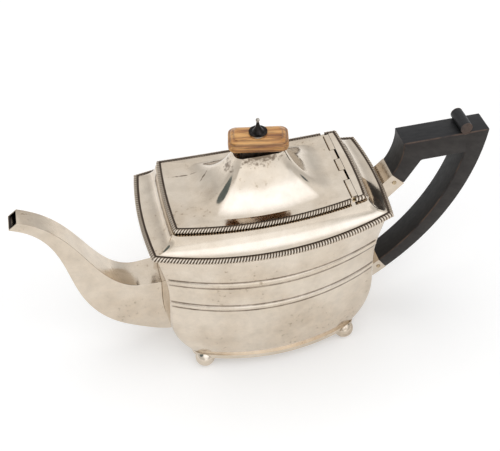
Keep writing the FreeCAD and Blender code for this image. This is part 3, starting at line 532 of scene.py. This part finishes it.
# A grid of points (rows, columns, 3) closed round its columns; each end row is closed by one face.
# The volume is a sixth of the sum of the triple products over the sides, and where it is negative
# the columns are reversed
def tubePiece(name, points, finish, hollow):
    rows, columns = points.shape[:2]
    inner = points - points.mean(axis=(0, 1))
    beside = np.roll(inner, -1, axis=1)
    edge = np.cross(beside[:-1] - inner[1:], beside[1:] - inner[:-1])
    if (edge * (inner[:-1] + inner[1:])).sum() < 0:
        points = points[:, ::-1]
        hollow = hollow[:, ::-1]
    index = np.arange(rows * columns).reshape(rows, columns)
    after = np.roll(index, -1, axis=1)
    faces = np.stack([index[:-1], after[:-1], after[1:], index[1:]], axis=-1).reshape(-1, 4).tolist()
    faces += [index[0, ::-1].tolist(), index[-1].tolist()]
    mesh = bpy.data.meshes.new(name)
    mesh.from_pydata(points.reshape(-1, 3).tolist(), [], faces)
    mesh.polygons.foreach_set("use_smooth", np.ones(len(mesh.polygons), dtype=bool))
    layer = mesh.attributes.new("hollow", "FLOAT", "POINT")
    layer.data.foreach_set("value", hollow.ravel().astype(np.float32))
    mesh.update()
    mesh.materials.append(finish)
    piece = bpy.data.objects.new(name, mesh)
    scene.collection.objects.link(piece)
    return piece


# Lobed borders round the rim and round the lid, in mm
rimBorder = {
    "halfLength": 66.7, "halfWidth": 34.2, "sideBow": 10.3, "endBow": 2.5, "dip": 3.6,
    "top": 105.8, "height": 3.4, "width": 3.2, "pitch": 1.62,
}
lidBorder = {
    "halfLength": 52.9, "halfWidth": 28.5, "sideBow": 3.3, "endBow": 1.2, "dip": 3.6,
    "top": 118.1, "height": 2.5, "width": 2.8, "pitch": 1.55,
}

# Shape of a lobe, in shares of the border's width and height, and angles in radians
lobeSize = {
    "steps": 9, "profilePoints": 15,  # points along each lobe, and over its face
    "depth": 0.34, "slant": 0.28, "roundness": 0.7, "fadeOut": 0.5,
    "flatReach": 0.25, "squash": 0.24, "backHeight": 0.45, "mitre": 0.63,
    # tarnish and painted shade also lie where the border meets the sheet, and behind its top edge
    "edgeAngles": (1.3, 1.5), "edgeTarnishAndShade": 0.8,
    "innerTarnishAndShade": (0.35, 0.6),
}


# A D-shaped profile carried along one side of a bowed plan. Its round face is pressed into lobes:
# the radius falls by depth * (1 - |cos(pi * q)|^roundness) * cos(angle)^fadeOut, where q is
# run / pitch - lean * angle, and the ends are mitred. The lean is the slant, turned round on two
# sides so that the lobes lean one way all round the border
def lobedLength(name, size, side, start, stop, body, backReach=-0.15):
    shape = lobeSize
    steps = shape["steps"] * int((stop - start) / size["pitch"])
    run = np.linspace(start, stop, steps)[:, None]
    column = np.ones((steps, 1))
    long = side in ("front", "rear")
    half, bow = (size["halfLength"], size["sideBow"]) if long else (size["halfWidth"], size["endBow"])
    # the bowed plan, and its outward direction along and across the side
    bowed = 1 - (run / half)**2
    across = (size["halfWidth"] if long else size["halfLength"]) + bow * bowed
    slope = 2 * bow * run / half**2
    outAlong = slope / np.sqrt(1 + slope**2)
    outAcross = 1 / np.sqrt(1 + slope**2)
    sink = size["dip"] * bowed if long else 0 * bowed
    middle = size["top"] - size["height"] / 2 - sink
    # the lobed face and the two points of its flat back
    angle = np.linspace(-np.pi / 2, np.pi / 2, shape["profilePoints"])[None, :]
    lean = shape["slant"] if side in ("front", "right") else -shape["slant"]
    lobe = np.abs(np.cos(np.pi * (run / size["pitch"] - lean * angle)))**shape["roundness"]
    radius = 1 - shape["depth"] * (1 - lobe) * np.cos(angle)**shape["fadeOut"]
    reach = size["width"] * (shape["flatReach"] + (1 - shape["flatReach"]) * np.cos(angle) * radius)
    lift = size["height"] / 2 * np.sin(angle) * (1 - shape["squash"] * (1 - lobe))
    backLift = size["height"] * shape["backHeight"] * column
    reach = np.concatenate([reach, backReach * column, backReach * column], axis=1)
    lift = np.concatenate([lift, backLift, -backLift], axis=1)
    # tarnish and painted shade between the lobes, along the edges and behind
    edge = shape["edgeTarnishAndShade"] * np.interp(np.abs(angle), shape["edgeAngles"], (0, 1))
    least, more = shape["innerTarnishAndShade"]
    inner = least + more * (1 - lobe[:, -1:])
    hollow = np.concatenate([np.maximum(1 - lobe, edge), inner, column], axis=1)
    ends = (-1 if start == -half else 0, 1 if stop == half else 0)  # a cut end stays square
    mitre = shape["mitre"] * reach * np.linspace(*ends, steps)[:, None]
    first = run + outAlong * reach + outAcross * mitre
    second = across + outAcross * reach - outAlong * mitre
    sign = -1 if side in ("front", "left") else 1
    x, y = (first, sign * second) if long else (sign * second, first)
    points = np.stack([x * mm + potMiddle, y * mm, (middle + lift) * mm], axis=-1)
    piece = tubePiece(name, points, finishes["lobed"], hollow)
    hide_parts(name)
    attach(piece, body)


# where the border is split at the hinge, and the room behind it for the lid's end to swing, in mm
hingeSplit = {"lidStop": 45.4, "hingeStart": 48.0, "backReach": 0.5}
for side in ("front", "rear", "left", "right"):
    half = rimBorder["halfLength" if side in ("front", "rear") else "halfWidth"]
    lobedLength(f"rim_border_{side}", rimBorder, side, -half, half, "pot")
half = lidBorder["halfLength"]
for side in ("front", "rear"):
    lobedLength(f"lid_border_{side}", lidBorder, side, -half, hingeSplit["lidStop"], "lid")
    lobedLength(f"hinge_border_{side}", lidBorder, side, hingeSplit["hingeStart"], half, "pot",
                hingeSplit["backReach"])
half = lidBorder["halfWidth"]
lobedLength("lid_border_left", lidBorder, "left", -half, half, "lid")
lobedLength("hinge_border_end", lidBorder, "right", -half, half, "pot")
print("lobed borders made")

# Finial knob: stepped and moulded block of wood, in mm and degrees
knobSize = {
    "halfLength": 16.8, "halfWidth": 9.2, "corner": 4.5, "base": 142.9, "turn": -12.0,
    # the corner shrinks by a share of the inset, and always leaves this much of the side
    "cornerPoints": 9, "cornerEase": 0.45, "leastSide": 0.1,
    # inset and height of the moulding, from the underside to the top
    "profile": [
        (2.0, 0.0), (1.8, 0.3), (1.7, 0.7), (1.2, 0.95), (0.45, 1.2), (0.1, 1.7), (0.0, 2.4), (0.0, 4.4),
        (0.12, 4.95), (0.45, 5.3), (0.9, 5.45), (1.15, 5.5), (1.2, 5.7), (1.5, 6.05), (2.0, 6.4),
        (2.6, 6.75), (3.2, 7.1), (3.45, 7.25), (3.6, 7.45), (4.2, 7.65), (5.4, 7.85), (7.4, 8.0),
    ],
    # height and how dark the wood is there: painted shade on the foot under the slab, and darker in the
    # steps
    "darkening": [
        (0.0, 1.0), (0.95, 0.9), (1.7, 0.25), (2.4, 0.0), (4.4, 0.0), (5.3, 0.45), (5.5, 1.0), (5.7, 0.8),
        (6.4, 0.1), (7.0, 0.3), (7.25, 0.75), (7.45, 0.3), (7.65, 0.15), (8.0, 0.15),
    ],
}


# A rounded rectangle carried up a moulded profile: each ring is the outline drawn in by the
# profile's inset, and the whole is turned about the stud, as the loose knob sits
def mouldedKnob(name):
    size = knobSize
    inset, level = np.array(size["profile"]).T[:, :, None]
    count = size["cornerPoints"]
    quarter = np.linspace(0, np.pi / 2, count)
    sweep = np.concatenate([quarter + k * np.pi / 2 for k in range(4)])
    sideX = np.repeat([1, -1, -1, 1], count)
    sideY = np.repeat([1, 1, -1, -1], count)
    room = size["halfWidth"] - inset - size["leastSide"]
    corner = np.minimum(size["corner"] - size["cornerEase"] * inset, room)
    x = sideX * (size["halfLength"] - inset - corner) + corner * np.cos(sweep)
    y = sideY * (size["halfWidth"] - inset - corner) + corner * np.sin(sweep)
    z = np.broadcast_to(size["base"] + level, x.shape)
    turn = np.radians(size["turn"])
    turnedX = x * np.cos(turn) - y * np.sin(turn)
    turnedY = x * np.sin(turn) + y * np.cos(turn)
    points = np.stack([turnedX * mm + potMiddle, turnedY * mm, z * mm], axis=-1)
    darkening = np.interp(level, *np.array(size["darkening"]).T)
    piece = tubePiece(name, points, finishes["knobWood"], np.broadcast_to(darkening, x.shape))
    shadeSmooth(piece)
    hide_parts(name)
    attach(piece, "lid")


mouldedKnob("finial_knob")
print("knob made")

# Camera at the photograph's angle: lengths in mm, angles in radians
cameraSize = {
    "target": (-3.12, 0, 81.01), "away": 537.5, "turn": -0.2043, "rise": 0.7772, "roll": -0.0406,
    "lens": 64.17, "sensor": 36, "clipStart": 10,
}


# The camera stands away from its target, turned from the front and risen from level, and is rolled
# about its own view
def placeCamera():
    size = cameraSize
    turn, rise, roll = size["turn"], size["rise"], size["roll"]
    back = Vector((np.sin(turn) * np.cos(rise), -np.cos(turn) * np.cos(rise), np.sin(rise)))
    right = (-back).cross(Vector((0, 0, 1))).normalized()
    up = right.cross(-back)
    rolledRight = right * np.cos(roll) + up * np.sin(roll)
    rolledUp = up * np.cos(roll) - right * np.sin(roll)
    place = (Vector(size["target"]) + back * size["away"]) * mm
    data = bpy.data.cameras.new("camera")
    data.lens = size["lens"]
    data.sensor_width = size["sensor"]
    data.clip_start = size["clipStart"] * mm
    camera = bpy.data.objects.new("camera", data)
    scene.collection.objects.link(camera)
    turned = Matrix((rolledRight, rolledUp, back)).transposed().to_4x4()
    camera.matrix_world = Matrix.Translation(place) @ turned
    scene.camera = camera


placeCamera()
print("camera placed")

# Pale floor, white backdrop and soft light, in metres
studio = {
    # the floor's glow rises from the first tone to the second between two distances
    "floorSize": 6.0, "floorColour": 0.80, "floorGlow": (0.32, 0.70), "glowReach": (0.3, 1.4),
    "worldLight": 0.4,
    # brightness of the backdrop in the metal, by height from the horizon (0.5) to straight above (1)
    "backdrop": [(0.50, 0.95), (0.62, 0.72), (0.74, 0.80), (0.86, 1.0), (1.0, 1.0)],
    # patches of the backdrop that show in the metal: way to it, cosines of its edge and of its full
    # tone, tone. First the soft light over the front and a pale wall below it, then two dark openings
    "patches": [
        ((0.145, -0.60, 0.785), 0.76, 0.97, (1.65, 1.72, 1.85)),
        ((0.05, -1.0, 0.27), 0.93, 0.98, (1.35, 1.38, 1.42)),
        ((-0.68, -0.13, 0.71), 0.92, 0.935, (0.15, 0.19, 0.20)),
        ((0.855, -0.012, 0.514), 0.991, 0.994, (0.13, 0.16, 0.17)),
    ],
    # place, width, depth and power of each lamp, all aimed at one place
    "lamps": [
        ((-0.15, 0.35, 1.25), 1.3, 0.9, 6.0),
        ((0.15, -0.60, 1.15), 0.9, 0.7, 3.4),
        ((-1.1, -0.5, 0.75), 0.7, 0.9, 2.0),
        ((1.1, -0.35, 0.7), 0.5, 0.9, 1.6),
    ],
    "lampAim": (0, 0, 0.08),
}


# One of two shaders, by a factor
def chooseShader(tree, factor, first, second):
    inputs = {0: factor, 1: first.outputs[0], 2: second.outputs[0]}
    return addNode(tree, "ShaderNodeMixShader", inputs)


# A flat square. It glows by its distance from the middle, for the camera and in the metal only
def makeFloor():
    half = studio["floorSize"] / 2
    corners = [(-half, -half, 0), (half, -half, 0), (half, half, 0), (-half, half, 0)]
    mesh = bpy.data.meshes.new("floor")
    mesh.from_pydata(corners, [], [(0, 1, 2, 3)])
    floor = bpy.data.objects.new("floor", mesh)
    scene.collection.objects.link(floor)
    material = bpy.data.materials.new("paleFloor")
    tree, output = emptyTree(material, "ShaderNodeOutputMaterial")
    plain = addNode(tree, "ShaderNodeBsdfDiffuse", {"Color": (*grey(studio["floorColour"]), 1)})
    coords = addNode(tree, "ShaderNodeTexCoord")
    away = addNode(tree, "ShaderNodeVectorMath", {0: coords.outputs["Object"]}, operation="LENGTH")
    share = maths(tree, "DIVIDE", away.outputs["Value"], half)
    strength = fade(tree, share, [reach / half for reach in studio["glowReach"]], studio["floorGlow"])
    glow = addNode(tree, "ShaderNodeEmission", {"Strength": strength})
    shown = addNode(tree, "ShaderNodeAddShader", {0: plain.outputs[0], 1: glow.outputs[0]})
    path = addNode(tree, "ShaderNodeLightPath").outputs
    seen = maths(tree, "MAXIMUM", path["Is Camera Ray"], path["Is Glossy Ray"])
    feed(tree, output, {"Surface": chooseShader(tree, seen, plain, shown).outputs[0]})
    mesh.materials.append(material)


# White to the camera, the patched backdrop in metal, and a soft light on everything else
def makeWorld():
    world = bpy.data.worlds.new("studio")
    scene.world = world
    tree, output = emptyTree(world, "ShaderNodeOutputWorld")
    path = addNode(tree, "ShaderNodeLightPath").outputs
    way = addNode(tree, "ShaderNodeTexCoord").outputs["Generated"]
    height = maths(tree, "MULTIPLY_ADD", splitCoords(tree, way)["Z"], 0.5, 0.5)
    colour = ramp(tree, height, [(place, grey(tone)) for place, tone in studio["backdrop"]])
    for patchWay, edge, full, tone in studio["patches"]:
        inputs = {0: way, 1: Vector(patchWay).normalized()}
        facing = addNode(tree, "ShaderNodeVectorMath", inputs, operation="DOT_PRODUCT")
        colour = mix(tree, fade(tree, facing.outputs["Value"], (edge, full)), colour, tone)
    pure = (1, 1, 1, 1)
    white = addNode(tree, "ShaderNodeBackground", {"Color": pure})
    soft = addNode(tree, "ShaderNodeBackground", {"Color": pure, "Strength": studio["worldLight"]})
    mirrored = addNode(tree, "ShaderNodeBackground", {"Color": colour})
    shiny = maths(tree, "MAXIMUM", path["Is Glossy Ray"], path["Is Transmission Ray"])
    lit = chooseShader(tree, shiny, soft, mirrored)
    feed(tree, output, {"Surface": chooseShader(tree, path["Is Camera Ray"], lit, white).outputs[0]})


def makeLamps():
    for number, (place, width, depth, power) in enumerate(studio["lamps"]):
        data = bpy.data.lights.new(f"lamp{number}", "AREA")
        data.shape = "RECTANGLE"
        data.size = width
        data.size_y = depth
        data.energy = power
        lamp = bpy.data.objects.new(f"lamp{number}", data)
        lamp.visible_glossy = False  # the metal shows the backdrop's soft patch instead of the lamp's edges
        scene.collection.objects.link(lamp)
        way = Vector(studio["lampAim"]) - Vector(place)
        turned = way.to_track_quat("-Z", "Y").to_matrix().to_4x4()
        lamp.matrix_world = Matrix.Translation(place) @ turned


makeFloor()
makeWorld()
makeLamps()
scene.view_settings.view_transform = "Standard"
print("studio ready")
